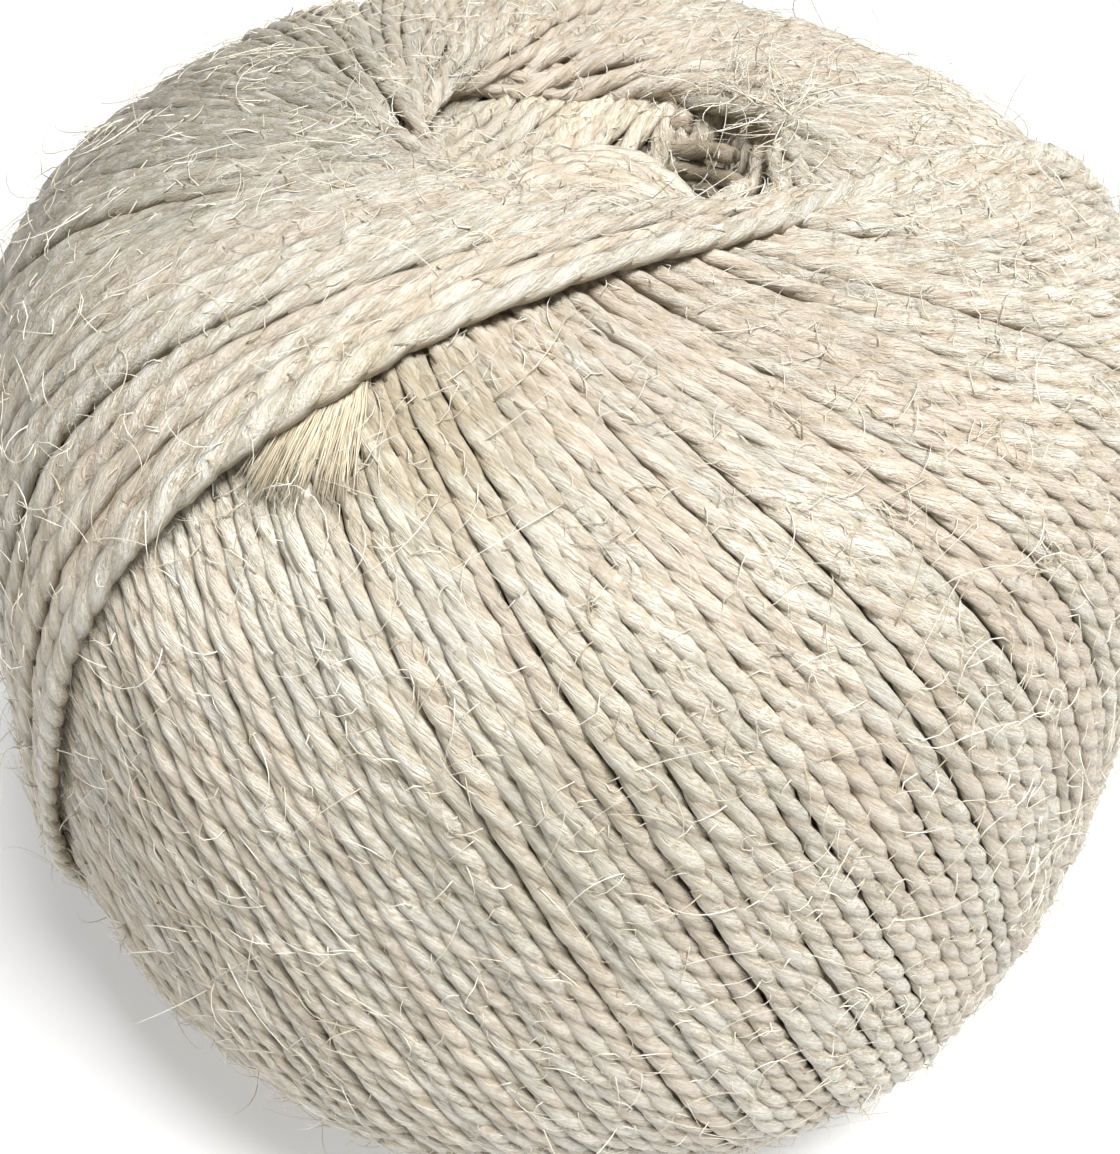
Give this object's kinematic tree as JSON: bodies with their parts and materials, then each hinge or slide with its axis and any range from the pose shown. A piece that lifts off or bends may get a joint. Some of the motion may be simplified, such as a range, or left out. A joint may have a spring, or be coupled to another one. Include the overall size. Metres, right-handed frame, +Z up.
{
  "type": "ball of two-ply sisal twine",
  "caption": "Round wound ball of pale two-ply twine with a hollow through its axis, a flat spot at its base and the ledge of the newest turn across its crown.",
  "frame": {"origin": "centre of the flat spot that the ball stands on", "axes": "+Z up along the hollow, -Y towards the side where the newest turn is seen crossing the crown in front of the hollow"},
  "size_m": [0.1164, 0.1142, 0.0989],
  "materials": {
    "sisal_twine": "dull natural sisal fibre, two plies twisted together, cream to straw with slightly greyer and pinker stretches, fine pale stray fibres all over"
  },
  "bodies": {
    "root": {"twine_ball": "sisal_twine"}
  },
  "joints": []
}
